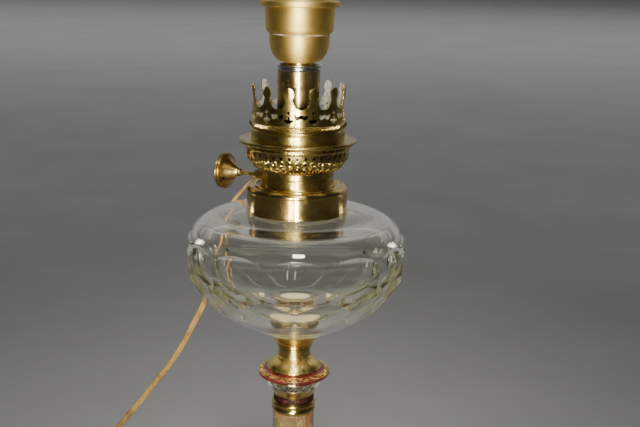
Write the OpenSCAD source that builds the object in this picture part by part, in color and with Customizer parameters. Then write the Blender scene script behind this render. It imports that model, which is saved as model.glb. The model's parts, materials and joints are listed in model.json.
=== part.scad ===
// Column oil lamp with a round-wick burner, converted to electric light.
// Origin: centre of the base, on the surface the lamp stands on. +Z is up, -Y is the front.

/* [Base] */
// Width of the lower plinth slab, square
plinth_w = 124; // [116:1:130]
// Height of the lower plinth slab
plinth_h = 18; // [15:1:20]
// Width of the upper plinth slab, square
step_w = 84; // [78:1:90]
// Height of the upper plinth slab
step_h = 12; // [10:1:14]
// Height of the brass band between the two slabs
band_h = 6; // [5:0.5:7]
// Height of the feet
foot_h = 10; // [8:1:12]
// Radius of each foot
foot_r = 9; // [8:0.5:10]

/* [Column] */
// Radius of the onyx column
column_r = 12.8; // [12.4:0.1:13]
// Length of the onyx column
column_len = 132.5; // [132:0.5:133]
// Radius of the threaded rod that holds the stack together
rod_r = 3; // [2.8:0.1:3.1]
// Widest radius of the red enamel ring
enamel_r = 22.1; // [21.8:0.1:22.4]

/* [Font] */
// Distance from the lamp's axis to each flat of the glass
font_flat_r = 63.9; // [63.5:0.1:64.2]
// Number of flats cut around the glass
font_flats = 12; // [12:1:12]
// Thickness of the glass wall
glass_wall = 5; // [4:0.5:6]
// Radius of the brass collar cemented on the glass
collar_r = 29.8; // [29.6:0.1:30]
// Height of the brass collar
collar_h = 16; // [15.5:0.1:16.2]

/* [Burner] */
// Outer radius of the wick tube
wick_tube_r = 12.4; // [12.2:0.1:12.5]
// Outer radius of the neck that screws into the collar
neck_r = 21.8; // [21.6:0.1:21.9]
// Radius over the rolled rim of the basket
rim_r = 34.5; // [34.2:0.1:34.7]
// Number of pierced holes in each row of the bowl
hole_count = 40; // [24:4:40]
// Outer radius of the chimney gallery's wall
gallery_r = 26.9; // [26.8:0.1:27]
// Number of spring fingers on the gallery
finger_count = 12; // [10:1:12]

/* [Winder] */
// Radius of the winder knob
knob_r = 10.7; // [9.5:0.1:11]
// Radius of the winder shaft
shaft_r = 1.3; // [1.2:0.05:1.4]
// Distance of the shaft from the lamp's axis
shaft_offset = 14; // [14:0.1:14.4]
// Angle of the shaft behind straight left
shaft_yaw = 28; // [24:1:30]
// Number of teeth on each wick cog
cog_teeth = 12; // [10:1:14]

/* [Lampholder] */
// Radius of the lampholder's body at its top
holder_r = 20; // [19.8:0.1:20.2]
// Radius of the lampholder's flange
flange_r = 22.9; // [22.4:0.1:23.2]
// Thickness of the flange
flange_t = 3.2; // [2.8:0.1:3.4]
// Inner radius of the screw shell that takes the bulb
socket_r = 13.2; // [13.1:0.05:13.3]

/* [Cord] */
// Width of the flat twin cord
cord_w = 4; // [3.8:0.1:4.1]
// Thickness of the flat twin cord
cord_t = 2.2; // [2:0.1:2.4]
// Outer radius of the coil
coil_r = 28.5; // [27.5:0.5:29]
// Height of the coil
coil_h = 9.4; // [9:0.1:10]

/* [Hidden] */
$fn = 96;

// Levels, from the base up
plinth_z = foot_h;
band_z = plinth_z + plinth_h;
step_z = band_z + band_h;
mount_z = step_z + step_h;
mount_h = 9;
torus_h = 6.8;
torus_z = mount_z + mount_h;
column_z = torus_z + torus_h + 0.2;
capital_z = column_z + column_len;
red_z = capital_z + torus_h;
red_h = 4.3;
cone_z = red_z + red_h;
cone_h = 5.4;
scroll_z = cone_z + cone_h;
scroll_h = 5;
enamel_z = scroll_z + scroll_h + 1;
enamel_h = 5.8;
dome_z = enamel_z + enamel_h;
dome_h = 6.7;
spool_z = dome_z + dome_h;
spool_h = 7.8;
cup_z = spool_z + spool_h;
cup_h = 9.2;
glass_z = cup_z + cup_h + 0.3;
collar_z = glass_z + 75;
neck_z = collar_z + collar_h + 1.1;
neck_h = 8.4;
bowl_z = neck_z + neck_h;
dish_z = bowl_z + 17;
deck_z = bowl_z + 21.2;
wick_top = bowl_z + 61.2;
holder_z = wick_top + 1;

// Round parts of the stack
core_r = 9;
rod_bore_r = rod_r + 0.3;
bed_r = 15.2;
collar_bore_r = 27.2;
thread_r = 21;
glass_neck_r = 24.6;
glass_bore_r = 21.4;
half_flat = 180 / font_flats;
font_edge_r = font_flat_r / cos(half_flat);

// Burner
tube_wall = 0.6;
wick_bore_r = wick_tube_r - tube_wall;
draught_r = 9.2;
sheet = 0.7;
finger_step = 360 / finger_count;
finger_h = 12.4;
crown_turn = 3.6;
crown_z = bowl_z + 38;
shaft_z = bowl_z - 3.3;
cog_r = 3;

// Lampholder
nipple_r = 4.9;
wire_bore_r = 3.3;
cap_h = 16;
shell_h = 19;
shell_z = holder_z + cap_h;
flange_z = shell_z + shell_h - flange_t;

// Cord: the strain relief in the burner's neck, from its root to its tip
relief_root = [-12.2, 17.2, 343.2];
relief_tip = [-25, 34.8, 337.4];
// Cord: the stretch from the strain relief to the switch
hanging_route = [
    relief_tip, [-29.4, 38.6, 331], [-35.6, 43.8, 322.8],
    [-41.8, 49, 314.4], [-46.2, 51.4, 306], [-47.8, 52.4, 294], [-50.6, 53.8, 279], [-55.2, 55.2, 261],
    [-61.5, 56.8, 242], [-67.2, 58.6, 230], [-72.6, 60.6, 218.5], [-80.6, 63.6, 203.5],
    [-89, 67.2, 190.5], [-100, 72, 175], [-109, 76, 162], [-119, 81, 148], [-132, 87, 129],
    [-146, 94, 106], [-161, 102, 81], [-177, 110, 55], [-191, 117, 31], [-203, 121.5, 13.5],
    [-214, 123, 4.6], [-226, 120.5, 2.4], [-236, 113, 3], [-241.5, 102, 5.2], [-243, 90, 6.4]
];
// Cord: the switch's other end to the coil
entry_route = [[-243, 34, 6.4], [-243, 26, 6.2], [-243, 18, 4.8], [-243, 8, 3.4]];
// Cord: the coil to the plug
tail_route = [[-214, -23, 3.4], [-206, -23.4, 2.4], [-197, -24, 2.2], [-188, -24, 2.2], [-180, -22.4, 2.6],
    [-173, -18.4, 3.8], [-168.4, -12, 5.6], [-167, -4, 7]];
switch_pos = [-243, 62, 0.1];
coil_pos = [-215, 5, 1.1];
plug_pos = [-167, -4, 7];
plug_len = 36;
pin_r = 2;
pin_root_r = 1.6;
rocker_z = 13.4;
rocker_pin_r = 1.1;
rocker_tilt = 7;

// ---- helpers ----

// A turned shape: points are [radius, height]
module turned(points) {
    rotate_extrude() polygon(points);
}

module ring(r_out, r_in, h) {
    difference() {
        cylinder(r = r_out, h = h);
        translate([0, 0, -1]) cylinder(r = r_in, h = h + 2);
    }
}

module bored(r, h) {
    difference() {
        children();
        translate([0, 0, -1]) cylinder(r = r, h = h + 2);
    }
}

// Copies its children around Z
module around(count, start = 0) {
    for (i = [0 : count - 1]) rotate([0, 0, start + i * 360 / count]) children();
}

// Puts its children on the winder's line: local +Z runs outward along the shaft
module on_shaft(distance) {
    translate([0, 0, shaft_z]) rotate([0, 0, -shaft_yaw]) translate([0, -shaft_offset, 0])
        rotate([0, -90, 0]) translate([0, 0, distance]) children();
}

module square_slab(width, height, bevel) {
    inset = width - 2 * bevel;
    difference() {
        translate([-width / 2, -width / 2, 0]) cube([width, width, height]);
        for (turn = [0 : 90 : 270]) rotate([0, 0, turn])
            translate([inset / 2, -width, height]) rotate([0, 45, 0])
                cube([bevel * 2, width * 2, bevel * 2]);
    }
}

// Cuts a hexagonal nut with a bore
module hex_nut(across, bore, h) {
    difference() {
        cylinder(r = across / sqrt(3), h = h, $fn = 6);
        translate([0, 0, -1]) cylinder(r = bore, h = h + 2);
    }
}

// Sweeps the flat cord's section along a route of points
cord_sides = 8;
function unit(v) = v / norm(v);
function heading(route, i) =
    unit(route[min(i + 1, len(route) - 1)] - route[max(i - 1, 0)]);
function cord_ring(route, i) =
    let (along = heading(route, i), side = unit(cross(along, [0, 0, 1])), over = cross(side, along))
    [for (s = [0 : cord_sides - 1])
        let (a = (s + 0.5) * 360 / cord_sides)
        route[i] + side * cord_w / 2 * cos(a) + over * cord_t / 2 * sin(a)];
module swept_cord(route) {
    rings = len(route);
    last = (rings - 1) * cord_sides;
    points = [for (i = [0 : rings - 1]) each cord_ring(route, i)];
    walls = [for (i = [0 : rings - 2]) for (s = [0 : cord_sides - 1])
        let (t = (s + 1) % cord_sides, b = i * cord_sides)
        each [[b + s, b + cord_sides + s, b + t], [b + t, b + cord_sides + s, b + cord_sides + t]]];
    near_cap = [for (s = [0 : cord_sides - 1]) s];
    far_cap = [for (s = [cord_sides - 1 : -1 : 0]) last + s];
    polyhedron(points, concat(walls, [near_cap, far_cap]));
}

// A smooth curve through the route's points, with steps pieces between neighbours
function curve_point(a, b, c, d, t) =
    0.5 * (2 * b + (c - a) * t + (2 * a - 5 * b + 4 * c - d) * t * t
        + (3 * b - a - 3 * c + d) * t * t * t);
function smooth_route(route, steps) = let (last = len(route) - 1) concat(
    [for (i = [0 : last - 1]) for (k = [0 : steps - 1])
        curve_point(route[max(i - 1, 0)], route[i], route[i + 1], route[min(i + 2, last)], k / steps)],
    [route[last]]);

// ---- base ----

module felt_pads() {
    color("darkolivegreen") around(4, 45) translate([plinth_w * 0.58, 0, 0])
        cylinder(r = foot_r - 2, h = 1);
}

module brass_feet() {
    color("goldenrod") around(4, 45) translate([plinth_w * 0.58, 0, 0])
        turned([[0, 1], [foot_r - 1.5, 1], [foot_r, 2.5], [foot_r, foot_h * 0.45],
            [foot_r - 3, foot_h * 0.7], [foot_r - 2, foot_h], [0, foot_h]]);
}

module plinth_slab() {
    color("olivedrab") difference() {
        translate([0, 0, plinth_z]) square_slab(plinth_w, plinth_h, 3);
        translate([0, 0, plinth_z - 1]) cylinder(r = 10, h = 9);
        translate([0, 0, plinth_z - 1]) cylinder(r = rod_bore_r, h = plinth_h + 2);
    }
}

module plinth_band() {
    color("goldenrod") translate([0, 0, band_z]) bored(rod_bore_r, band_h)
        square_slab(step_w + 8, band_h, 1.5);
}

module step_slab() {
    color("olivedrab") translate([0, 0, step_z]) bored(rod_bore_r, step_h)
        square_slab(step_w, step_h, 3);
}

module rod_nut_lower() {
    color("gray") translate([0, 0, plinth_z + 3]) hex_nut(10, rod_r, 5);
}

module lower_enamel_ring() {
    color("firebrick") translate([0, 0, mount_z]) bored(rod_bore_r, mount_h)
        turned([[0, 0], [24, 0], [25, 1], [25, 2.5], [22, 4], [17.5, 5.6], [15, 7.4], [14.6, mount_h],
            [0, mount_h]]);
}

// A pair of rounded rings turned on one brass sleeve
module torus_pair() {
    bored(rod_bore_r, torus_h) rotate_extrude() {
        square([12.4, torus_h]);
        translate([11.5, 1.9]) circle(r = 1.9);
        translate([0, 4.5]) square([13.2, torus_h - 4.5]);
        translate([12.4, 5.6]) circle(r = 1.15);
    }
}

module lower_torus_ring() {
    color("goldenrod") translate([0, 0, torus_z]) torus_pair();
}

// ---- column and capital ----

module onyx_column() {
    color("yellowgreen") translate([0, 0, column_z]) bored(rod_bore_r + 1.5, column_len)
        cylinder(r = column_r, h = column_len);
}

module tie_rod() {
    color("silver") translate([0, 0, plinth_z + 2]) cylinder(r = rod_r, h = cup_z + 6 - plinth_z - 2);
}

module capital_torus_ring() {
    color("goldenrod") translate([0, 0, capital_z]) torus_pair();
}

module red_band() {
    color("darkred") translate([0, 0, red_z]) ring(12.3, core_r, red_h);
}

module capital_cone() {
    color("goldenrod") translate([0, 0, red_z]) bored(rod_bore_r, 20)
        turned([[0, 0], [core_r, 0], [core_r, red_h], [12.4, red_h], [12.8, red_h + 1.4],
            [15, red_h + cone_h], [12.5, red_h + cone_h], [12.5, enamel_z - red_z], [0, enamel_z - red_z]]);
}

module scroll_ring() {
    color("gainsboro") translate([0, 0, scroll_z])
        turned([[12.5, 0], [15, 0], [15.7, 1.6], [16.2, scroll_h - 0.4], [15.9, scroll_h], [12.5, scroll_h]]);
}

module enamel_ring() {
    color("firebrick") translate([0, 0, enamel_z])
        turned([[core_r, 0], [18.6, 0], [20.6, 0.6], [enamel_r, 2.6], [21.6, 3.6], [20.2, 4.8],
            [17.2, enamel_h], [core_r, enamel_h]]);
}

module domed_disc() {
    color("goldenrod") translate([0, 0, dome_z]) bored(rod_bore_r, dome_h) union() {
        turned([[0, 0], [16.3, 0], [16.7, 0.5], [16.4, 1.1], [15.6, 2.6], [14, 4.2], [12.2, 5.4],
            [10.7, 6.2], [10.2, dome_h], [0, dome_h]]);
        translate([0, 0, -enamel_h]) ring(core_r, rod_bore_r, enamel_h + 1);
    }
}

module stem_spool() {
    color("goldenrod") translate([0, 0, spool_z]) bored(rod_bore_r, spool_h)
        turned([[0, 0], [10.2, 0], [10.8, 0.5], [10.4, 1.1], [9.8, 1.6], [9.8, 7], [9.3, 7.2], [9.3, spool_h],
            [0, spool_h]]);
}

module font_cup() {
    color("goldenrod") translate([0, 0, cup_z]) bored(rod_bore_r, cup_h) difference() {
        turned([[0, 0], [10.9, 0], [11.1, 1], [11.6, 2.2], [13.4, 4.4], [15.4, 6.8], [16.6, cup_h], [0, cup_h]]);
        translate([0, 0, 2.2]) cylinder(r = 7.6, h = 4.3);
        translate([0, 0, 6.2]) cylinder(r1 = 13, r2 = bed_r, h = cup_h - 6.2 + 0.01);
    }
}

module rod_nut_upper() {
    color("gray") translate([0, 0, cup_z + 2.2]) hex_nut(10, rod_r, 3.6);
}

module plaster_bed() {
    color("wheat") translate([0, 0, cup_z + 6.2]) cylinder(r1 = 13, r2 = bed_r, h = cup_h - 6.2 + 0.3);
}

// ---- font ----

// Height of the glass shoulder's and bowl's outline above the foot, as [radius, height]
glass_outline = [
    [0, 0], [17, 0], [19.5, 0.4], [25, 3], [35, 8.4], [45, 14.4], [54, 21.6], [60, 28.6], [64.6, 35.6],
    [66.1, 45], [font_edge_r, 55], [65.9, 60.5], [64, 65.5], [60, 69.6], [53, 72.9], [44, 74.7],
    [32, 75], [glass_neck_r, 75.2], [glass_neck_r, 84.5], [0, 84.5]
];
glass_hollow = [
    [0, 8], [14, 8.6], [30, 14], [44, 22.6], [54, 32.4], [60.2, 43], [61.2, 54], [58.8, 62], [52, 67.2],
    [40, 69.6], [26, 70.4], [glass_bore_r, 71.6], [glass_bore_r, 90], [0, 90]
];

module glass_font() {
    lower_tilt = 37;
    side_tilt = 3.9;
    block = 80;
    color("azure", 0.4) translate([0, 0, glass_z]) difference() {
        turned(glass_outline);
        turned([for (p = glass_hollow) [p[0] > glass_bore_r ? p[0] - (glass_wall - 5) : p[0], p[1]]]);
        around(font_flats) translate([font_flat_r, 0, 60]) rotate([0, side_tilt, 0])
            translate([0, -block / 2, -block]) cube([20, block, block + 10]);
        around(font_flats, half_flat) translate([font_edge_r - 3.5, 0, 35]) rotate([0, lower_tilt, 0])
            translate([0, -block / 2, -block]) cube([20, block, block * 2]);
    }
}

module collar_cement() {
    color("beige") translate([0, 0, collar_z + 1]) ring(collar_bore_r, glass_neck_r, 9);
}

module font_collar() {
    top = collar_h;
    color("goldenrod") translate([0, 0, collar_z]) difference() {
        turned([[collar_bore_r, 0.4], [30.3, 0.4], [30.3, 1], [collar_r, 1.5], [collar_r, top - 3.4],
            [collar_r + 0.2, top - 2.6], [collar_r - 0.3, top - 1], [collar_r - 1.6, top - 0.2],
            [27.6, top], [27.2, top - 0.5], [25.9, top - 0.5], [25.4, top + 0.5], [24.4, top + 0.8],
            [23.6, top + 0.4], [23.2, top - 0.2], [22.4, top - 0.2], [22.2, top - 0.6],
            [thread_r, top - 0.6], [thread_r, top - 4.4], [collar_bore_r, top - 4.4]]);
    }
}

// ---- burner ----

module burner_neck() {
    skirt = 10.9;
    color("goldenrod") difference() {
        translate([0, 0, neck_z - skirt])
            turned([[13, 0], [thread_r, 0], [thread_r, skirt - 1.5], [22.1, skirt - 1.5], [22.1, skirt - 0.5],
                [neck_r - 0.2, skirt], [neck_r - 0.2, skirt + 4.4], [neck_r - 0.5, skirt + 4.7], [neck_r, skirt + 5],
                [neck_r, skirt + neck_h], [neck_r - 0.8, skirt + neck_h], [neck_r - 1.2, 1.5],
                [13, 1.5]]);
        on_shaft(5) cylinder(r = 2.4, h = 20);
        relief_axis() translate([0, 0, -3]) cylinder(r = 2.6, h = 16);
    }
}

// Outline of the bowl as [radius, height above the neck]
bowl_outline = [[21.9, 0], [23.6, 0.9], [25.6, 2.4], [27.4, 4.4], [29, 7], [30, 9.6], [30.5, 12], [30.6, 14]];

module pierced_bowl() {
    outer = concat([for (p = bowl_outline) p], [[31.3, 14.4], [31.3, 15.2], [32.4, 16.4]]);
    inner = [for (i = [len(outer) - 1 : -1 : 0]) outer[i] - [sheet, i == 0 ? 0 : -0.1]];
    color("goldenrod") translate([0, 0, bowl_z]) difference() {
        union() {
            turned(concat(outer, inner));
            ring(21.6, 13, 0.7);
        }
        around(hole_count) translate([26, 0, 10.6]) rotate([45, 0, 0]) translate([0, -0.75, -0.75])
            cube([8, 1.5, 1.5]);
        around(hole_count) translate([24, 0, 5.6]) rotate([0, 78, 0]) cylinder(r = 0.7, h = 8);
        around(hole_count, 180 / hole_count) translate([21, -0.35, 3]) rotate([0, 30, 0])
            cube([8, 0.7, 2.2]);
    }
}

module basket_dish() {
    color("goldenrod") translate([0, 0, dish_z]) rotate_extrude() difference() {
        union() {
            polygon([[25.9, -1], [26.6, -1], [27.4, 0.1], [30, -0.1], [33, 0.3], [33, 1.2], [30, 0.7],
                [27, 0.9], [26.6, 1.6], [26.6, 4.6], [25.9, 4.6]]);
            translate([rim_r - 1.1, 0.8]) circle(r = 1.1);
        }
    }
}

module burner_deck() {
    color("burlywood") translate([0, 0, deck_z]) difference() {
        ring(25.8, wick_tube_r + 0.2, 0.6);
        for (row = [[16, 24], [19.5, 30], [23, 36]]) around(row[1])
            translate([row[0], 0, -1]) cylinder(r = 0.8, h = 3);
    }
}

// The gap between two fingers: x across, y up from the top of the plain wall
finger_gap = [
    [-0.6, 0.2], [0.6, 0.2], [1.4, 0.9], [3.2, 2], [4.5, 3.8], [5, 5.8], [5, 7], [3.8, 8.2], [4.4, 9.4],
    [5.1, 10.4], [5.6, 11.8], [7.4, 13], [7.4, 14], [-7.4, 14], [-7.4, 13], [-5.6, 11.8], [-5.1, 10.4],
    [-4.4, 9.4], [-3.8, 8.2], [-5, 7], [-5, 5.8], [-4.5, 3.8], [-3.2, 2], [-1.4, 0.9]
];

// Places its children in the gallery's wall, facing out, with y up from the top of the plain wall
module in_wall(start = 0) {
    translate([0, 0, crown_z]) around(finger_count, start + crown_turn) rotate([90, 0, 0])
        translate([0, 0, 23]) linear_extrude(8) children();
}

module gallery_band() {
    color("goldenrod") translate([0, 0, crown_z - 20])
        turned([[26.9, 0], [27.5, 0], [27.5, 5.2], [27.9, 5.8], [27.5, 6.4], [27.3, 7], [27.9, 7.6], [28.3, 8.6],
            [28.3, 10.2], [27.6, 10.8], [26.95, 10.8], [26.95, 8], [23, 8], [23, 7.3], [26.9, 7.3]]);
}

module chimney_gallery() {
    color("goldenrod") difference() {
        translate([0, 0, crown_z - 12]) ring(gallery_r, gallery_r - sheet, 12 + finger_h);
        in_wall() polygon(finger_gap);
        in_wall() translate([-3.6, -5]) square([7.2, 2.2]);
        in_wall(finger_step / 2) translate([0, -1.8]) circle(r = 0.75, $fn = 12);
        in_wall(finger_step / 2) polygon([[-2.9, -6.4], [-0.8, -4.8], [0.8, -4.8], [2.9, -6.4], [1.2, -9.6],
            [-1.2, -9.6]]);
    }
}

module outer_wick_tube() {
    color("darkgoldenrod") difference() {
        translate([0, 0, collar_z + 2]) ring(wick_tube_r, wick_bore_r, wick_top - 3.6 - collar_z - 2);
        rotate([0, 0, -shaft_yaw]) translate([-6, -20, shaft_z - 4.2]) cube([12, 12, 8.4]);
    }
}

module inner_draught_tube() {
    color("tan") difference() {
        translate([0, 0, collar_z + 8]) ring(draught_r, draught_r - 0.5, wick_top - collar_z - 19);
        rotate([0, 0, 55]) translate([0, -6, collar_z + 14]) cube([20, 12, 16]);
    }
}

module wick_tube_rim() {
    color("silver") translate([0, 0, wick_top - 3.6])
        turned([[wick_bore_r - 0.2, 0], [12.5, 0], [12.5, 2.6], [12.8, 3.2], [12.5, 3.6], [wick_bore_r, 3.6],
            [wick_bore_r - 0.2, 3]]);
}

module holder_adapter() {
    color("burlywood") translate([0, 0, wick_top - 8])
        bored(nipple_r, 12) turned([[0, 0], [11.5, 0], [11.5, 5.2], [9.6, 6.2], [7.6, 6.6], [7.6, 9], [0, 9]]);
}

// ---- winder ----

module winder_bushing() {
    color("goldenrod") on_shaft(12.4) ring(2.4, shaft_r + 0.05, 7);
}

module winder_shaft() {
    color("goldenrod") on_shaft(-6) cylinder(r = shaft_r, h = 48.6);
}

module winder_cogs() {
    color("goldenrod") for (place = [-2.8, 1.4]) on_shaft(place) bored(shaft_r, 1.4) union() {
        cylinder(r = cog_r - 0.7, h = 1.4);
        for (i = [0 : cog_teeth - 1]) rotate([0, 0, i * 360 / cog_teeth])
            translate([0, -0.35, 0]) cube([cog_r, 0.7, 1.4]);
    }
}

module winder_knob() {
    hub_r = 2.2;
    thick = 3.8;
    color("darkgoldenrod") on_shaft(30.4) difference() {
        union() {
            turned([[0, 0], [hub_r, 0], [hub_r + 0.2, 0.9], [3.2, 2], [4.4, 4], [6, 6.4], [7.6, 8.2],
                [knob_r - 2, 9], [knob_r - 1, 9.4], [0, 9.4]]);
            translate([0, 0, 9.4]) rotate_extrude() {
                translate([0, 0]) square([knob_r - 1, thick]);
                translate([knob_r - 1.05, 0.85]) circle(r = 1.05);
                translate([knob_r - 1.05, thick - 0.9]) circle(r = 1.05);
            }
        }
        translate([0, 0, 12.2]) cylinder(r = 10, h = 4);
        translate([0, 0, -1]) cylinder(r = shaft_r, h = 13.2);
        rotate([0, 0, 150]) translate([0, 0, 7]) rotate([0, 90, 0]) cylinder(r = 0.7, h = 14);
    }
}

// ---- lampholder ----

module holder_nipple() {
    color("silver") translate([0, 0, wick_top - 9]) ring(nipple_r, wire_bore_r, 17.5);
}

module nipple_nut() {
    color("gray") translate([0, 0, holder_z + 2.6]) hex_nut(13, nipple_r, 2.6);
}

module holder_cap() {
    color("darkkhaki") translate([0, 0, holder_z]) difference() {
        turned([[0, 0], [8.2, 0], [9.4, 0.4], [12.2, 2], [14.6, 4.4], [16.4, 7.6], [17.4, 11.4], [17.5, cap_h],
            [0, cap_h]]);
        turned([[0, 2.6], [8.4, 2.6], [11.6, 4.2], [14, 6.8], [15.6, 9.8], [16.4, 12.6], [16.5, cap_h + 1],
            [0, cap_h + 1]]);
        translate([0, 0, -1]) cylinder(r = nipple_r, h = 5);
    }
}

module holder_shell() {
    top = shell_h;
    color("darkkhaki") translate([0, 0, shell_z])
        turned([[16.5, 0.4], [17.5, 0.4], [17.8, 0.6], [19.3, 2.2], [19.4, 3], [holder_r, top - flange_t - 0.6],
            [holder_r - 0.3, top - flange_t], [flange_r - 0.3, top - flange_t], [flange_r, top - flange_t + 0.4],
            [flange_r, top - 0.4], [flange_r - 0.5, top], [18.6, top], [18.4, top - 0.8],
            [18.6, 3.4], [16.5, 1.6]]);
}

module holder_insulator() {
    color("ivory") translate([0, 0, holder_z + 9.5]) difference() {
        turned([[0, 0], [14.2, 0], [15.1, 2.6], [16.2, 6.8], [16.2, 8.2], [18.2, 10.6], [18.2, 24],
            [17.4, 24.6], [0, 24.6]]);
        translate([0, 0, 4.5]) cylinder(r = 14, h = 30);
        translate([0, 0, -1]) cylinder(r = 2.5, h = 8);
    }
}

module screw_shell() {
    color("gold") translate([0, 0, holder_z + 18]) ring(14, socket_r, 14.5);
}

module centre_contact() {
    color("gold") translate([0, 0, holder_z + 14]) {
        translate([-8, -3, 0]) cube([16, 6, 0.8]);
        translate([0, 0, 0.8]) turned([[0, 0], [2.6, 0], [2.2, 2], [1.2, 2.8], [0, 3]]);
    }
}

module terminal_screws() {
    color("silver") for (side = [-1, 1]) translate([side * 9.5, 0, holder_z + 6.9]) difference() {
        union() {
            cylinder(r = 2.4, h = 1.4);
            cylinder(r = 1.4, h = 2.6);
        }
        translate([-3, -0.3, -0.1]) cube([6, 0.6, 0.7]);
    }
}

// ---- cord and what is on it ----

// Puts its children at the strain relief's root: local +Z runs along it
module relief_axis() {
    d = relief_tip - relief_root;
    translate(relief_root) rotate([0, acos(d[2] / norm(d)), atan2(d[1], d[0])]) children();
}

module cord_strain_relief() {
    long = norm(relief_tip - relief_root);
    color("peru") relief_axis()
        turned([[0, -2.4], [3, -2.4], [3, -1.4], [2.5, -1.2], [2.5, 1.4], [3.3, 1.6], [3.3, 2.8], [2.9, 3.4],
            [2.2, long], [0, long]]);
}

module cord_hanging() {
    color("goldenrod") swept_cord(smooth_route(hanging_route, 2));
}

module switch_base() {
    color("saddlebrown") translate(switch_pos) difference() {
        translate([-11, -27, 0]) cube([22, 54, 8.5]);
        translate([-9.5, -25.5, 1.5]) cube([19, 51, 9]);
        cord_passage();
    }
}

// The way through the switch for the cord, at both ends
module cord_passage() {
    for (side = [-1, 1]) translate([-cord_w / 2, side * 26.5 - 2, 5]) cube([cord_w, 4, 2.6]);
}

module switch_cover() {
    color("saddlebrown") translate(switch_pos) difference() {
        translate([0, 0, 8.5]) intersection() {
            translate([-11, -27, 0]) cube([22, 54, 8.5]);
            translate([0, 60, -13]) rotate([90, 0, 0]) cylinder(r = 21, h = 120);
        }
        translate([-9.2, -25.2, 7]) cube([18.4, 50.4, 7.6]);
        translate([-4.4, -8.4, 8]) cube([8.8, 16.8, 12]);
        translate([-5.2, 0, rocker_z]) rotate([0, 90, 0]) cylinder(r = rocker_pin_r + 0.06, h = 10.4);
    }
}

module switch_rocker() {
    color("black") translate(switch_pos + [0, 0, rocker_z]) rotate([rocker_tilt, 0, 0]) difference() {
        union() {
            intersection() {
                translate([-4, -7.8, -2.6]) cube([8, 15.6, 9]);
                translate([5, 0, -9]) rotate([0, -90, 0]) cylinder(r = 14, h = 10);
            }
            translate([-4.9, 0, 0]) rotate([0, 90, 0]) cylinder(r = rocker_pin_r, h = 9.8);
        }
        translate([5, 0, 24]) rotate([0, -90, 0]) cylinder(r = 20.6, h = 10);
    }
}

module cord_coil() {
    hole_r = coil_r - 10.5;
    soft = 3;
    color("goldenrod") translate(coil_pos) rotate_extrude() {
        translate([hole_r, soft]) square([coil_r - hole_r, coil_h - 2 * soft]);
        translate([hole_r + soft, 0]) square([coil_r - hole_r - 2 * soft, coil_h]);
        for (r = [hole_r + soft, coil_r - soft], z = [soft, coil_h - soft]) translate([r, z]) circle(r = soft);
    }
}

module cord_tie() {
    long = 12.9;
    tall = coil_h + 2.2;
    color("white") translate([coil_pos[0] + coil_r - 5.25 - long / 2, coil_pos[1] - 3, 0.1]) difference() {
        cube([long, 6, tall]);
        translate([0.8, -1, 0.8]) cube([long - 1.6, 8, tall - 1.6]);
    }
}

module cord_tail() {
    color("goldenrod") {
        swept_cord(smooth_route(entry_route, 2));
        swept_cord(smooth_route(tail_route, 2));
    }
}

// Puts its children in the plug's place: local +X runs from the cord's end to the pins
module in_plug() {
    translate(plug_pos) rotate([0, 0, 90]) children();
}

module plug_body() {
    color("saddlebrown") in_plug() difference() {
        intersection() {
            translate([0, 0, -6.8]) linear_extrude(13.6)
                polygon([[0, -4.5], [9, -5.5], [16, -13], [22, -17], [plug_len, -17.6], [plug_len, 17.6], [22, 17],
                    [16, 13], [9, 5.5], [0, 4.5]]);
            translate([0, 30, 0]) rotate([90, 0, 0]) linear_extrude(60)
                polygon([[0, -4], [14, -6.8], [plug_len - 1, -6.8], [plug_len, -6], [plug_len, 6],
                    [plug_len - 1, 6.8], [14, 6.8], [0, 4]]);
        }
        for (side = [-1, 1]) translate([plug_len - 8, side * 9.3, 0]) rotate([0, 90, 0])
            cylinder(r = pin_root_r, h = 10);
    }
}

module plug_pins() {
    color("silver") in_plug() for (side = [-1, 1]) translate([plug_len - 8, side * 9.3, 0]) rotate([0, 90, 0]) {
        cylinder(r = pin_root_r, h = 9);
        translate([0, 0, 8.5]) cylinder(r = pin_r, h = 18.5);
    }
}

felt_pads();
brass_feet();
plinth_slab();
plinth_band();
step_slab();
rod_nut_lower();
lower_enamel_ring();
lower_torus_ring();
onyx_column();
tie_rod();
capital_torus_ring();
red_band();
capital_cone();
scroll_ring();
enamel_ring();
domed_disc();
stem_spool();
font_cup();
rod_nut_upper();
plaster_bed();
glass_font();
collar_cement();
font_collar();
burner_neck();
pierced_bowl();
basket_dish();
burner_deck();
gallery_band();
chimney_gallery();
outer_wick_tube();
inner_draught_tube();
wick_tube_rim();
holder_adapter();
winder_bushing();
winder_shaft();
winder_cogs();
winder_knob();
holder_nipple();
nipple_nut();
holder_cap();
holder_shell();
holder_insulator();
screw_shell();
centre_contact();
terminal_screws();
cord_strain_relief();
cord_hanging();
switch_base();
switch_cover();
switch_rocker();
cord_coil();
cord_tie();
cord_tail();
plug_body();
plug_pins();
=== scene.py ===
"""Column oil lamp with a round-wick burner, converted to electric light."""
import json
import random
from math import cos, exp, hypot, pi, radians, sin, tau

import bmesh
import bpy
from mathutils import Matrix, Vector
from mathutils.geometry import delaunay_2d_cdt


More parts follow.
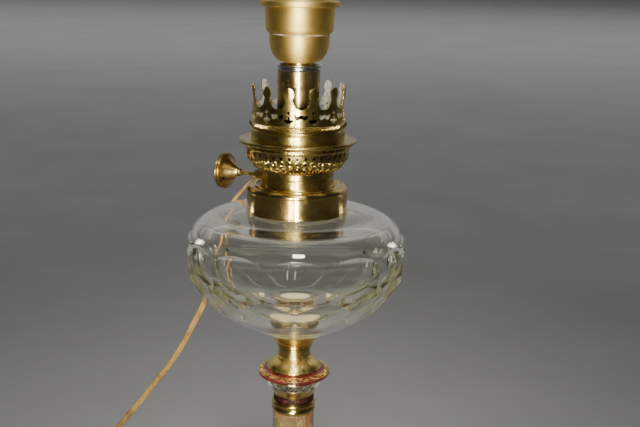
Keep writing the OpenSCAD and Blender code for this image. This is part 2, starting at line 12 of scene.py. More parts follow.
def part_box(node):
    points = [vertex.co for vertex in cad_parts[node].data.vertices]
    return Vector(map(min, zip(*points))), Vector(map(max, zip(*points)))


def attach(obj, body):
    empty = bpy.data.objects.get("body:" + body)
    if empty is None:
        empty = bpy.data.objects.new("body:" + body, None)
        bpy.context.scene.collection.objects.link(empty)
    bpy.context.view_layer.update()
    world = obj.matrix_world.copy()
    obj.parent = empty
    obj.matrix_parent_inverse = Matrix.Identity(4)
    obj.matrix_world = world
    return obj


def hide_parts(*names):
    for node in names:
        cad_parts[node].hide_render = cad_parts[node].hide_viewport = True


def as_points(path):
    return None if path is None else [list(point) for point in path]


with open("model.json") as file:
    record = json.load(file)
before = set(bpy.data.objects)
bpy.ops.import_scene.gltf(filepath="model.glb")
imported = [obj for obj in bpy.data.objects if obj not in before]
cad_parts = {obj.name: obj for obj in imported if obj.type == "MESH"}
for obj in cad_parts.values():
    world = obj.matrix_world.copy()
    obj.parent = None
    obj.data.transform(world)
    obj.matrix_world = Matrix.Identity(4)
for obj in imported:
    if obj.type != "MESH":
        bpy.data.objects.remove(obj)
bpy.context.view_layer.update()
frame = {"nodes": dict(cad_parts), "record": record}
scene = bpy.context.scene
MM = 0.001


def new_object(name, data):
    made = bpy.data.objects.new(name, data)
    scene.collection.objects.link(made)
    return made


def new_mesh(name, bm):
    mesh = bpy.data.meshes.new(name)
    bm.to_mesh(mesh)
    bm.free()
    return mesh


def face_outward(bm):
    bmesh.ops.recalc_face_normals(bm, faces=bm.faces)


# -------- camera

# Fitted to the photograph: yaw, pitch and roll in degrees, the place in metres, and the lens in millimetres
CAMERA_TURN = (1.379, 13.755, 1.277)
CAMERA_PLACE = Vector((0, -0.5798, 0.4621))
FOCAL_LENGTH, SENSOR_WIDTH = 56.25, 36


def make_camera():
    """The camera at the photograph's viewing angle."""
    yaw, pitch, roll = (radians(angle) for angle in CAMERA_TURN)
    forward = Vector((sin(yaw) * cos(pitch), cos(yaw) * cos(pitch), -sin(pitch)))
    level = Vector((cos(yaw), -sin(yaw), 0))
    upright = level.cross(forward)
    right = cos(roll) * level + sin(roll) * upright
    up = cos(roll) * upright - sin(roll) * level
    data = bpy.data.cameras.new("camera")
    data.lens = FOCAL_LENGTH
    data.sensor_width = SENSOR_WIDTH
    data.clip_start = 0.01
    camera = new_object("camera", data)
    camera.matrix_world = Matrix((
        (right.x, up.x, -forward.x, CAMERA_PLACE.x),
        (right.y, up.y, -forward.y, CAMERA_PLACE.y),
        (right.z, up.z, -forward.z, CAMERA_PLACE.z),
        (0, 0, 0, 1)))
    scene.camera = camera


make_camera()


# -------- materials

MATERIALS = {}


def fill(node, **values):
    """Sets a node's inputs by their names, with _ for a space."""
    for key, value in values.items():
        node.inputs[key.replace("_", " ")].default_value = value


class Nodes:
    """A new material's node tree, with short calls for the nodes used here."""

    def __init__(self, name):
        self.material = bpy.data.materials.new(name)
        self.material.use_nodes = True
        MATERIALS[name] = self.material
        self.tree = self.material.node_tree
        self.shader = self.tree.nodes["Principled BSDF"]
        self.place = self.add("TexCoord").outputs["Object"]

    def add(self, kind, **settings):
        node = self.tree.nodes.new("ShaderNode" + kind)
        for key, value in settings.items():
            setattr(node, key, value)
        return node

    def link(self, source, target):
        """Links a socket to an input, or sets the input to a number or a colour."""
        if isinstance(source, bpy.types.NodeSocket):
            self.tree.links.new(source, target)
        else:
            target.default_value = (*source, 1) if isinstance(source, tuple) else source

    def stretched(self, scale):
        node = self.add("Mapping")
        fill(node, Scale=scale)
        self.link(self.place, node.inputs["Vector"])
        return node.outputs["Vector"]

    def noise(self, scale, detail=5.0, distortion=0.0, stretch=(1, 1, 1), roughness=0.55):
        node = self.add("TexNoise")
        fill(node, Scale=scale, Detail=detail, Distortion=distortion, Roughness=roughness)
        self.link(self.stretched(stretch), node.inputs["Vector"])
        return node.outputs["Fac"]

    def ramp(self, factor, stops):
        node = self.add("ValToRGB")
        ramp = node.color_ramp
        while len(ramp.elements) < len(stops):
            ramp.elements.new(0.5)
        for element, (place, colour) in zip(ramp.elements, stops):
            element.position = place
            element.color = (*colour, 1) if len(colour) == 3 else colour
        self.link(factor, node.inputs["Fac"])
        return node.outputs["Color"]

    def spread(self, factor, low, high, start=0.3, end=0.7):
        node = self.add("MapRange")
        fill(node, From_Min=start, From_Max=end, To_Min=low, To_Max=high)
        self.link(factor, node.inputs["Value"])
        return node.outputs["Result"]

    def blend(self, factor, under, over):
        node = self.add("Mix", data_type="RGBA")
        for source, target in ((factor, 0), (under, 6), (over, 7)):
            self.link(source, node.inputs[target])
        return node.outputs[2]

    def times(self, a, b):
        return self.maths("MULTIPLY", a, b)

    def plus(self, a, b):
        return self.maths("ADD", a, b)

    def maths(self, operation, a, b=0):
        node = self.add("Math", operation=operation)
        self.link(a, node.inputs[0])
        self.link(b, node.inputs[1])
        return node.outputs[0]

    def bumps(self, *layers):
        """layers are (height, strength, depth in mm), from the coarsest."""
        normal = None
        for height, strength, depth in layers:
            node = self.add("Bump")
            fill(node, Strength=strength, Distance=depth * MM)
            self.link(height, node.inputs["Height"])
            if normal:
                self.link(normal, node.inputs["Normal"])
            normal = node.outputs["Normal"]
        self.link(normal, self.shader.inputs["Normal"])

    def edges(self):
        """1 along outer edges and corners, where handling wears a surface bright."""
        return self.spread(self.add("NewGeometry").outputs["Pointiness"], 0, 1, 0.51, 0.56)

    def set(self, **values):
        fill(self.shader, **values)

    def colour(self, source):
        self.link(source, self.shader.inputs["Base Color"])

    def rough(self, source):
        self.link(source, self.shader.inputs["Roughness"])


# Near-black for inside the burner: partly soot, partly painted shade
SOOT_AND_SHADE = (0.025, 0.02, 0.014)


def metal(name, clean, dull, tarnish, rough, tarnished, spun=0.25, dents=0.2, turned_round=0.7, soot_and_shade_below=None):
    """Metal with tarnish in patches, turning marks and worn edges. Below the height given last, if any, it is
    painted near-black: soot, and painted shade deep inside the burner.
    """
    n = Nodes(name)
    n.set(Metallic=1.0, Anisotropic=turned_round, Anisotropic_Rotation=0.25)
    if turned_round:
        n.link(n.add("Tangent", direction_type="RADIAL", axis="Z").outputs["Tangent"],
               n.shader.inputs["Tangent"])
    patches = n.noise(55, 6, 0.6)
    fine = n.noise(420, 4, 0.3)
    body = n.ramp(n.plus(n.times(patches, 0.7), n.times(fine, 0.3)), [(0.36, dull), (0.58, clean)])
    stain = n.spread(n.noise(34, 8, 1.2, (1, 1, 1.6)), 0, 1, tarnished, tarnished + 0.09)
    body = n.blend(n.times(stain, n.spread(fine, 0.45, 1)), body, tarnish)
    body = n.blend(n.times(n.edges(), 0.6), body, tuple(min(1, c * 1.35) for c in clean))
    if soot_and_shade_below:
        # Below that height the colour turns near-black with a ragged edge: soot and painted shade
        height = n.add("SeparateXYZ")
        n.link(n.place, height.inputs["Vector"])
        ragged = n.plus(height.outputs["Z"], n.times(patches, 3 * MM))
        body = n.blend(n.spread(ragged, 0.94, 0, soot_and_shade_below, soot_and_shade_below + 5 * MM), body, SOOT_AND_SHADE)
    n.colour(body)
    turning = n.noise(90, 3, 0, (0.35, 0.35, 22))
    n.rough(n.plus(n.spread(n.noise(70, 7, 0.4), *rough), n.times(stain, 0.12)))
    n.bumps((n.noise(60, 2, 0), dents, 0.35), (turning, spun, 0.06), (n.noise(1500, 3), 0.12, 0.03))


def onyx():
    """Green onyx marble: cloudy bands in olive and tan, with red-brown and pale veins."""
    n = Nodes("onyx_green")
    band = n.noise(16, 9, 1.8, (1, 1, 2.4), 0.62)
    cloud = n.noise(60, 8, 0.8)
    body = n.ramp(n.plus(n.times(band, 0.75), n.times(cloud, 0.25)), [
        (0.33, (0.012, 0.016, 0.006)), (0.42, (0.05, 0.056, 0.018)), (0.5, (0.105, 0.1, 0.034)),
        (0.57, (0.16, 0.13, 0.055)), (0.66, (0.06, 0.066, 0.023))])
    far = n.maths("ABSOLUTE", n.maths("SUBTRACT", n.noise(22, 7, 2.6, (1, 1, 1.5)), 0.5))
    vein = n.spread(far, 1, 0, 0.004, 0.03)
    patch = n.spread(n.noise(19, 4, 1), 0, 1, 0.5, 0.62)
    body = n.blend(n.times(vein, 0.85), body, (0.22, 0.065, 0.03))
    body = n.blend(n.times(patch, n.spread(cloud, 0.1, 0.8)), body, (0.25, 0.065, 0.032))
    off_white = n.maths("ABSOLUTE", n.maths("SUBTRACT", n.noise(31, 6, 1.7, (1, 1.4, 0.8)), 0.52))
    white = n.spread(off_white, 0.6, 0, 0, 0.012)
    n.colour(n.blend(white, body, (0.3, 0.26, 0.15)))
    n.rough(n.spread(n.noise(130, 6), 0.14, 0.3))
    n.bumps((n.noise(25, 3), 0.2, 0.2), (vein, 0.12, 0.05), (n.noise(900, 3), 0.08, 0.02))
    n.set(Coat_Weight=0.35, Coat_Roughness=0.12, Subsurface_Weight=0.12, Subsurface_Scale=1.0,
          Subsurface_Radius=(0.004, 0.004, 0.002))


def glass():
    """Old cut glass: clear, faintly yellow-green where it is thick, with a few fine scratches."""
    n = Nodes("glass_clear")
    n.set(Transmission_Weight=1.0, IOR=1.51)
    n.colour(n.ramp(n.noise(40, 5, 0.5), [(0.3, (0.965, 0.955, 0.9)), (0.7, (0.99, 0.985, 0.94))]))
    smear = n.spread(n.noise(26, 6, 1.5), 0, 1, 0.58, 0.75)
    n.rough(n.times(smear, 0.05))
    n.bumps((n.noise(38, 2, 0.4), 0.1, 0.5), (n.noise(500, 4, 2, (1, 1, 0.15)), 0.05, 0.02))
    depth = n.add("VolumeAbsorption")
    fill(depth, Color=(0.95, 0.93, 0.68, 1), Density=18)
    n.link(depth.outputs["Volume"], n.tree.nodes["Material Output"].inputs["Volume"])


def enamel(name, deep, light, worn):
    """Glass enamel on metal: glossy, uneven in depth, with small chips."""
    n = Nodes(name)
    body = n.ramp(n.noise(260, 6, 0.5), [(0.35, deep), (0.62, light)])
    chips = n.spread(n.noise(600, 5, 1.4), 0, 1, 0.62, 0.66)
    n.colour(n.blend(chips, body, worn))
    n.rough(n.plus(n.spread(n.noise(300, 4), 0.16, 0.34), n.times(chips, 0.3)))
    n.bumps((n.noise(300, 3), 0.25, 0.12), (chips, -0.3, 0.06))
    n.set(Coat_Weight=0.25, Coat_Roughness=0.15, Specular_IOR_Level=0.35)


def plain(name, dark, light, rough, grain, bump=0.3, depth=0.1, specks=None, **values):
    """A cast, moulded or powdery surface: two shades of one colour, grain in its gloss and relief."""
    n = Nodes(name)
    n.set(**values)
    body = n.ramp(n.noise(grain, 6, 0.4), [(0.32, dark), (0.66, light)])
    if specks:
        body = n.blend(n.spread(n.noise(grain * 2.2, 5, 1.2), 0, 1, 0.6, 0.68), body, specks)
    n.colour(body)
    n.rough(n.spread(n.noise(grain * 0.4, 5), *rough))
    n.bumps((n.noise(grain * 0.25, 3), bump * 0.6, depth * 2), (n.noise(grain * 3, 4), bump, depth))


def flex():
    """The flex's clear gold plastic over its copper strands, a little dirty."""
    n = Nodes("flex_gold")
    body = n.ramp(n.noise(140, 6, 0.6), [(0.34, (0.17, 0.095, 0.024)), (0.6, (0.33, 0.205, 0.062))])
    dirt = n.spread(n.noise(45, 7, 1.4), 0, 0.55, 0.52, 0.66)
    n.colour(n.blend(dirt, body, (0.075, 0.045, 0.018)))
    n.rough(n.spread(n.noise(220, 5), 0.22, 0.42))
    n.bumps((n.noise(160, 3), 0.25, 0.12), (n.noise(1900, 3), 0.2, 0.03))
    n.set(Coat_Weight=0.5, Coat_Roughness=0.2, Subsurface_Weight=0.15, Subsurface_Scale=1.0,
          Subsurface_Radius=(0.002, 0.0012, 0.0005))


def felt():
    """Dense wool felt: fibres in every direction and a soft sheen."""
    n = Nodes("felt")
    n.colour(n.ramp(n.noise(900, 8, 2.5), [(0.3, (0.012, 0.03, 0.014)), (0.7, (0.05, 0.09, 0.045))]))
    n.rough(n.spread(n.noise(400, 5), 0.85, 1.0))
    n.bumps((n.noise(1600, 6, 3), 0.8, 0.15))
    n.set(Sheen_Weight=0.5, Sheen_Roughness=0.5)


# Colours where clean, dull and tarnished, roughness from and to, and the noise level where tarnish starts
METALS = {
    "brass_burner": ((0.58, 0.44, 0.14), (0.32, 0.23, 0.065), (0.14, 0.07, 0.022), (0.2, 0.34), 0.57),
    "brass_old": ((0.68, 0.5, 0.17), (0.46, 0.32, 0.09), (0.22, 0.11, 0.04), (0.16, 0.3), 0.6),
    "brass_bright": ((0.84, 0.64, 0.22), (0.66, 0.47, 0.13), (0.4, 0.2, 0.06), (0.2, 0.34), 0.66),
    "brass_satin": ((0.94, 0.68, 0.2), (0.82, 0.56, 0.14), (0.5, 0.28, 0.08), (0.5, 0.62), 0.7),
    "brass_dull": ((0.5, 0.375, 0.155), (0.25, 0.175, 0.062), (0.15, 0.1, 0.045), (0.22, 0.38), 0.52),
    "bronze": ((0.38, 0.27, 0.095), (0.22, 0.145, 0.05), (0.12, 0.065, 0.028), (0.2, 0.34), 0.54),
    # Dark metal: the dark ground under the scroll ring's relief, and painted shade on the wall of the knob's
    # hole
    "dark_ground_and_hole_shade": ((0.1, 0.075, 0.028), (0.05, 0.034, 0.014), (0.02, 0.012, 0.006), (0.34, 0.5), 0.5),
    "silvered": ((0.86, 0.85, 0.76), (0.62, 0.6, 0.5), (0.34, 0.28, 0.16), (0.26, 0.42), 0.62),
    "nickel": ((0.66, 0.65, 0.6), (0.42, 0.43, 0.4), (0.2, 0.18, 0.13), (0.16, 0.34), 0.62),
    "steel_zinc": ((0.6, 0.6, 0.58), (0.42, 0.43, 0.42), (0.26, 0.16, 0.09), (0.3, 0.5), 0.66),
}
# What differs from metal()'s own values, heights in metres
METAL_EXTRAS = {
    "brass_satin": {"spun": 0.12, "dents": 0.08},
    # Below 0.386 m brass_dull is painted near-black: soot, and painted shade seen through the crown's holes
    "brass_dull": {"dents": 0.35, "soot_and_shade_below": 0.386},
    "bronze": {"dents": 0.1, "turned_round": 0},
    "dark_ground_and_hole_shade": {"dents": 0.1, "turned_round": 0},
    "silvered": {"turned_round": 0},
}
for name, values in METALS.items():
    metal(name, *values, **METAL_EXTRAS.get(name, {}))
onyx()
glass()
felt()
flex()
enamel("enamel_red", (0.035, 0.003, 0.003), (0.115, 0.009, 0.008), (0.06, 0.026, 0.01))
enamel("enamel_dark", (0.02, 0.005, 0.003), (0.06, 0.01, 0.007), (0.09, 0.055, 0.02))
plain("patina", (0.2, 0.17, 0.08), (0.66, 0.68, 0.56), (0.45, 0.8), 420, 0.5, 0.12, (0.5, 0.6, 0.44))
plain("plaster", (0.82, 0.74, 0.54), (0.98, 0.94, 0.76), (0.75, 0.95), 220, 0.6, 0.3, (0.68, 0.56, 0.36))
plain("porcelain", (0.68, 0.66, 0.6), (0.8, 0.79, 0.74), (0.12, 0.3), 120, 0.15, Coat_Weight=0.4)
plain("brown_plastic", (0.03, 0.014, 0.008), (0.075, 0.034, 0.018), (0.24, 0.42), 160, 0.2, 0.08,
      (0.11, 0.055, 0.03), Coat_Weight=0.2)
plain("black_plastic", (0.012, 0.012, 0.012), (0.035, 0.034, 0.033), (0.3, 0.5), 240)
plain("tie_white", (0.66, 0.65, 0.6), (0.8, 0.79, 0.75), (0.4, 0.6), 300)


# -------- pieces and mesh helpers

SLOTS = {entry["node"]: entry["material_slot"] for entry in frame["record"]["subparts"]}


def low(node):
    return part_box(node)[0] / MM


def high(node):
    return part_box(node)[1] / MM


def finished(name, bm, slot, nodes=(), body="root", sharp=35, bevel=None, weighted=True):
    """Makes a bmesh in millimetres a piece: smooth but for its sharp edges, on its body, in its material."""
    bmesh.ops.scale(bm, vec=(MM, MM, MM), verts=bm.verts)
    mesh = new_mesh(name, bm)
    mesh.shade_smooth()
    mesh.set_sharp_from_angle(angle=radians(sharp))
    mesh.materials.append(MATERIALS[slot])
    piece = new_object(name, mesh)
    if bevel:
        soften(piece, *bevel)
    if weighted:
        weigh(piece)
    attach(piece, body)
    if nodes:
        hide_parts(*nodes)
    return piece


def soften(piece, width, angle=30, segments=2):
    """Rounds a piece's edges; width is in millimetres."""
    bevel = piece.modifiers.new("edges", "BEVEL")
    bevel.width = width * MM
    bevel.segments = segments
    bevel.limit_method = "ANGLE"
    bevel.angle_limit = radians(angle)
    bevel.harden_normals = True


def weigh(piece):
    modifier = piece.modifiers.new("normals", "WEIGHTED_NORMAL")
    modifier.keep_sharp = True
    modifier.weight = 70


def clamped(value):
    return min(max(value, 0), 1)


def eased(value):
    """From 0 to 1 with a soft start and end."""
    return clamped(value) ** 2 * (3 - 2 * clamped(value))


def spline(points, steps):
    """A smooth curve through the points, steps pieces between neighbours."""
    points = [Vector(p) for p in points]
    curve = []
    for i in range(len(points) - 1):
        a, b = points[max(i - 1, 0)], points[i]
        c, d = points[i + 1], points[min(i + 2, len(points) - 1)]
        for k in range(steps):
            t = k / steps
            curve.append(0.5 * (2 * b + (c - a) * t + (2 * a - 5 * b + 4 * c - d) * t * t
                                + (3 * b - a - 3 * c + d) * t ** 3))
    return curve + [points[-1]]


def rounded(profile, radius, closed, steps=3):
    """The profile with each corner rounded off by up to radius."""
    points = [Vector(p) for p in profile]
    count = len(points)
    curve = []
    for i, corner in enumerate(points):
        if not closed and i in (0, count - 1):
            curve.append(corner)
            continue
        before, after = points[i - 1] - corner, points[(i + 1) % count] - corner
        reach = min(radius, before.length * 0.45, after.length * 0.45)
        start, end = corner + before.normalized() * reach, corner + after.normalized() * reach
        if before.angle(-after) < 0.02:
            curve.append(corner)
            continue
        for k in range(steps + 1):
            t = k / steps
            curve.append(start * (1 - t) ** 2 + corner * 2 * t * (1 - t) + end * t * t)
    return curve


def spin(bm, profile, closed, segments=128, shape=None):
    """Turns a profile of (radius, height) round Z. shape(angle, radius, height) may alter the radius."""
    rows = []
    for r, z in profile:
        if r < 1e-6:
            rows.append([bm.verts.new((0, 0, z))] * segments)
            continue
        row = []
        for s in range(segments):
            angle = tau * s / segments
            radius = shape(angle, r, z) if shape else r
            row.append(bm.verts.new((radius * cos(angle), radius * sin(angle), z)))
        rows.append(row)
    pairs = list(zip(rows, rows[1:])) + ([(rows[-1], rows[0])] if closed else [])
    for lower, upper in pairs:
        for s in range(segments):
            t = (s + 1) % segments
            corners = list(dict.fromkeys((lower[s], lower[t], upper[t], upper[s])))
            if len(corners) > 2:
                bm.faces.new(corners)
    face_outward(bm)


def turned(node, profile, radius=0.25, segments=128, name=None, place=None, body="root", shape=None, steps=3):
    """A turned piece for a CAD node; its profile is (radius, height above the node's lowest point)."""
    closed = profile[0][0] > 0 or profile[-1][0] > 0
    bm = bmesh.new()
    spin(bm, rounded(profile, radius, closed, steps), closed, segments, shape)
    if place is None:
        place = Matrix.Translation((0, 0, low(node).z))
    bmesh.ops.transform(bm, matrix=place, verts=bm.verts)
    return finished(name or node + "_turned", bm, SLOTS[node], (node,), body)


def inside(point, polygon):
    x, y = point
    hit = False
    for (ax, ay), (bx, by) in zip(polygon, polygon[1:] + polygon[:1]):
        if (ay > y) != (by > y) and x < (bx - ax) * (y - ay) / (by - ay) + ax:
            hit = not hit
    return hit


def pierced(outline, holes, step):
    """Triangles of a flat sheet with holes, with points inside it so that it can be bent."""
    points, edges = [], []
    for loop in [outline] + holes:
        first = len(points)
        points += [Vector(p) for p in loop]
        edges += [(first + i, first + (i + 1) % len(loop)) for i in range(len(loop))]
    border = list(points)
    left, right = min(p.x for p in points), max(p.x for p in points)
    bottom, top = min(p.y for p in points), max(p.y for p in points)
    columns, rows = round((right - left) / step), round((top - bottom) / step)
    for i in range(1, columns):
        for j in range(1, rows):
            point = Vector((left + (right - left) * i / columns, bottom + (top - bottom) * j / rows))
            if min((point - p).length for p in border) > step * 0.4 and inside(point, outline) \
                    and not any(inside(point, hole) for hole in holes):
                points.append(point)
    places, _, triangles, *_ = delaunay_2d_cdt(points, edges, [], 0, 1e-6)
    kept = []
    for triangle in triangles:
        centre = sum((places[i] for i in triangle), Vector((0, 0))) / len(triangle)
        if inside(centre, outline) and not any(inside(centre, hole) for hole in holes):
            kept.append(triangle)
    return places, kept


def bent_sheet(bm, flat, place, copies, thickness):
    """Bends copies of one pierced sector round the axis and thickens them. place(copy, u, v) is a point."""
    places, triangles = flat
    for copy in range(copies):
        verts = [bm.verts.new(place(copy, p.x, p.y)) for p in places]
        for triangle in triangles:
            bm.faces.new([verts[i] for i in triangle])
    bmesh.ops.remove_doubles(bm, verts=bm.verts, dist=0.04)
    face_outward(bm)
    if sum(f.normal.dot(Vector((*f.calc_center_median().xy, 0))) for f in bm.faces) < 0:
        bmesh.ops.reverse_faces(bm, faces=bm.faces)
    bm.normal_update()
    outer = list(bm.verts)
    inner = {v: bm.verts.new(v.co - v.normal * thickness) for v in outer}
    rims = [e for e in bm.edges if e.is_boundary]
    for face in list(bm.faces):
        back = bm.faces.new([inner[v] for v in reversed(face.verts)])
        back.material_index = 1
    for edge in rims:
        loop = edge.link_loops[0]
        a, b = loop.vert, loop.link_loop_next.vert
        bm.faces.new((b, a, inner[a], inner[b]))


def sweep(bm, path, section, sides):
    """Sweeps a section of (x, y) points along a path; sides(i) gives the direction of the section's x."""
    path = [Vector(p) for p in path]
    rings = []
    for i, point in enumerate(path):
        along = (path[min(i + 1, len(path) - 1)] - path[max(i - 1, 0)]).normalized()
        side = sides(i)
        side = (side - along * side.dot(along)).normalized()
        over = along.cross(side)
        rings.append([bm.verts.new(point + side * x + over * y) for x, y in section(i)])
    count = len(rings[0])
    for near, far in zip(rings, rings[1:]):
        for s in range(count):
            t = (s + 1) % count
            bm.faces.new((near[s], near[t], far[t], far[s]))
    bm.faces.new(list(reversed(rings[0])))
    bm.faces.new(rings[-1])


def oval(width, height, count=6):
    angles = [tau * s / count for s in range(count)]
    return [(width / 2 * cos(a), height / 2 * sin(a)) for a in angles]


# -------- the flex, its switch and its plug

RELIEF_TIP = Vector((-25, 34.8, 337.4))
HANGING = [
    RELIEF_TIP, (-29.4, 38.6, 331), (-35.6, 43.8, 322.8),
    (-41.8, 49, 314.4), (-46.2, 51.4, 306), (-47.8, 52.4, 294), (-50.6, 53.8, 279), (-55.2, 55.2, 261),
    (-61.5, 56.8, 242), (-67.2, 58.6, 230), (-72.6, 60.6, 218.5), (-80.6, 63.6, 203.5),
    (-89, 67.2, 190.5), (-100, 72, 175), (-109, 76, 162), (-119, 81, 148), (-132, 87, 129),
    (-146, 94, 106), (-161, 102, 81), (-177, 110, 55), (-191, 117, 31), (-203, 121.5, 13.5),
    (-214, 123, 4.6), (-226, 120.5, 2.4), (-236, 113, 3), (-241.5, 102, 5.2), (-243, 90, 6.4)]
THROUGH_SWITCH = [(-243, 76, 6.4), (-243, 62, 6.4), (-243, 48, 6.4)]
ENTRY = [(-243, 34, 6.4), (-243, 26, 6.2), (-243, 18, 4.9)]
COIL_CENTRE = Vector((-215, 5, 0))
COIL_TURNS = 8.25
COIL_INNER, COIL_OUTER = 18.9, 27.6
LOWER_ROW, UPPER_ROW = 3.3, 7.6
# The shares of the coil at which it starts to climb, at which it leaves, and how long each takes
CLIMB_FROM, CLIMB_FOR = 0.46, 0.08
LEAVE_FROM, LEAVE_FOR = 0.975, 0.025
LEAVE_OUT, LEAVE_DOWN = 2.4, 4.4
TAIL = [(-206, -25.2, 2.7), (-197, -25, 2.2), (-188, -24, 2.2), (-180, -22.4, 2.6), (-173, -18.4, 3.8),
        (-168.4, -12, 5.6), (-167, -2, 7)]
FLEX_WIDTH, FLEX_THICK = 4.0, 2.1
# The flex shows its edge near the lamp, and turns its broad side to the front further down, swaying a little
ROLL_AT_LAMP, ROLL_BELOW = 0.24, 1.9
SWAY, SWAY_RATE = 0.3, 0.2
# Counted in points of the path: the steps of a piece of route, where and how long its broad side turns, how
# far before the switch it lies flat, and how long it takes to flatten, to stand on edge and to lie down again
ROUTE_STEPS, TAIL_STEPS = 4, 3
TURN_FROM, TURN_FOR = 18, 24
FLAT_BEFORE, FLATTEN_FOR, STAND_FOR, LIE_DOWN_FOR = 12, 20, 26, 8


def coil_points(per_turn=24):
    """The coil's turns: in along the lower row, up, and out along the upper row."""
    points = []
    total = round(COIL_TURNS * per_turn)
    for i in range(total + 1):
        part = i / total
        angle = pi + tau * COIL_TURNS * part
        inward = 1 - abs(2 * part - 1)
        radius = COIL_OUTER - (COIL_OUTER - COIL_INNER) * inward
        height = LOWER_ROW + (UPPER_ROW - LOWER_ROW) * eased((part - CLIMB_FROM) / CLIMB_FOR)
        leave = clamped((part - LEAVE_FROM) / LEAVE_FOR)
        radius += LEAVE_OUT * leave
        height -= LEAVE_DOWN * leave * leave
        points.append(COIL_CENTRE + Vector((radius * cos(angle), radius * sin(angle), height)))
    return points


def flex_section(i):
    """The outline of the flat twin flex: two round cores side by side."""
    r = FLEX_THICK / 2
    off = FLEX_WIDTH / 2 - r
    angles = [radians(degrees) for degrees in range(-135, 136, 45)]
    right = [(off + r * cos(a), r * sin(a)) for a in angles]
    left = [(-x, -y) for x, y in right]
    return right + left


def make_flex():
    coil = coil_points()
    path = spline(HANGING + THROUGH_SWITCH + ENTRY, ROUTE_STEPS)
    coil_start, coil_end = len(path), len(path) + len(coil)
    path = path + coil + spline([coil[-1]] + TAIL, TAIL_STEPS)[1:]
    twist_end = len(HANGING) * ROUTE_STEPS - FLAT_BEFORE

    def side(i):
        along = (path[min(i + 1, len(path) - 1)] - path[max(i - 1, 0)]).normalized()
        flat = along.cross(Vector((0, 0, 1))).normalized()
        up = flat.cross(along)
        if i < twist_end:
            turn = (i - TURN_FROM) / TURN_FOR
            roll = ROLL_AT_LAMP + (ROLL_BELOW - ROLL_AT_LAMP) * eased(turn)
            roll = roll + SWAY * sin(i * SWAY_RATE) * clamped(turn)
            roll = roll * min(1, (twist_end - i) / FLATTEN_FOR)
        elif i < coil_start:
            roll = pi / 2 * clamped((i - coil_start) / STAND_FOR + 1)
        else:
            roll = pi / 2 * clamped(1 - (i - coil_end) / LIE_DOWN_FOR)
        return flat * cos(roll) + up * sin(roll)

    bm = bmesh.new()
    sweep(bm, path, flex_section, side)
    face_outward(bm)
    stood_for = ("cord_hanging", "cord_coil", "cord_tail")
    piece = finished("flex", bm, "flex_gold", stood_for, sharp=60, weighted=False)
    return piece, [p * MM for p in path]


flex_piece, flex_path = make_flex()
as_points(flex_path)


# -------- floor and lights

# In metres
FLOOR_HALF = 60
# The two rim lights fall on the glass alone: they would whiten the sides of the brass
GLASS_ONLY = bpy.data.collections.new("glass_only")
# The two front strips fall on everything but the floor, which they stand close to
LAMP_ONLY = bpy.data.collections.new("all_but_the_floor")


def make_floor():
    n = Nodes("floor")
    n.colour(n.ramp(n.noise(2.2, 4, 0.3), [(0.3, (0.4, 0.4, 0.405)), (0.7, (0.44, 0.44, 0.445))]))
    n.rough(n.spread(n.noise(6, 4), 0.65, 0.85))
    n.bumps((n.noise(700, 4), 0.05, 0.1))
    bm = bmesh.new()
    bmesh.ops.create_grid(bm, x_segments=8, y_segments=8, size=FLOOR_HALF)
    mesh = new_mesh("floor", bm)
    mesh.materials.append(n.material)
    floor = new_object("floor", mesh)
    LAMP_ONLY.objects.link(floor)
    LAMP_ONLY.collection_objects[0].light_linking.link_state = "EXCLUDE"


def area_light(name, place, target, size, watts, colour, spread, receivers=None):
    data = bpy.data.lights.new(name, "AREA")
    data.shape = "RECTANGLE"
    data.size, data.size_y = size
    data.energy = watts
    data.color = colour
    data.spread = radians(spread)
    light = new_object(name, data)
    light.location = place
    light.rotation_euler = (Vector(target) - Vector(place)).to_track_quat("-Z", "Y").to_euler()
    if receivers:
        light.light_linking.receiver_collection = receivers


# Where the room's shade starts and ends, and how light it is there
ROOM_NEAR, ROOM_FAR = (0.3, 0.03), (0.8, 0.38)


def make_world():
    """A plain room: dim round the camera, pale beyond the lamp."""
    world = bpy.data.worlds.new("studio")
    world.use_nodes = True
    tree = world.node_tree
    where, mapping, gradient, ramp = (tree.nodes.new("ShaderNode" + kind)
                                      for kind in ("TexCoord", "Mapping", "TexGradient", "ValToRGB"))
    fill(mapping, Rotation=(0, 0, radians(-90)))
    for element, (place, grey) in zip(ramp.color_ramp.elements, (ROOM_NEAR, ROOM_FAR)):
        element.position = place
        element.color = (grey, grey, grey, 1)
    for source, target in ((where.outputs["Generated"], mapping.inputs["Vector"]),
                           (mapping.outputs["Vector"], gradient.inputs["Vector"]),
                           (gradient.outputs["Fac"], ramp.inputs["Fac"]),
                           (ramp.outputs["Color"], tree.nodes["Background"].inputs["Color"])):
        tree.links.new(source, target)
    scene.world = world


WARM, NEUTRAL = (1, 0.95, 0.78), (1, 0.98, 0.92)
# name, place, aim, size, watts, colour, spread in degrees, and what it falls on if not everything
LIGHTS = [
    ("key", (-0.02, -1.3, 0.3), (0, 0, 0.3), (0.045, 0.62), 1.75, NEUTRAL, 40, LAMP_ONLY),
    ("left_fill", (-0.27, -1.2, 0.3), (0, 0, 0.3), (0.04, 0.6), 0.75, WARM, 40, LAMP_ONLY),
    ("high_front", (0.06, -1.05, 1.7), (0, 0, 0.25), (0.3, 0.3), 0.8, NEUTRAL, 30),
    ("left_rim", (-0.52, 0.3, 0.36), (0, 0, 0.28), (0.08, 0.22), 0.09, WARM, 60, GLASS_ONLY),
    ("right_rim", (0.52, 0.3, 0.36), (0, 0, 0.28), (0.08, 0.22), 0.075, WARM, 60, GLASS_ONLY),
    ("near_floor", (0, 0.1, 2.4), (0, 3.1, 1.35), (3, 0.6), 14, NEUTRAL, 180),
    ("far_floor", (0, 7, 5), (0, 9, 1.5), (16, 8), 340, (1, 1, 1), 180)]


make_floor()
make_world()
for light in LIGHTS:
    area_light(*light)
# Light passes many times through the thick glass before it leaves
scene.cycles.max_bounces = 32
scene.cycles.transmission_bounces = 32
scene.cycles.glossy_bounces = 16


# -------- lampholder

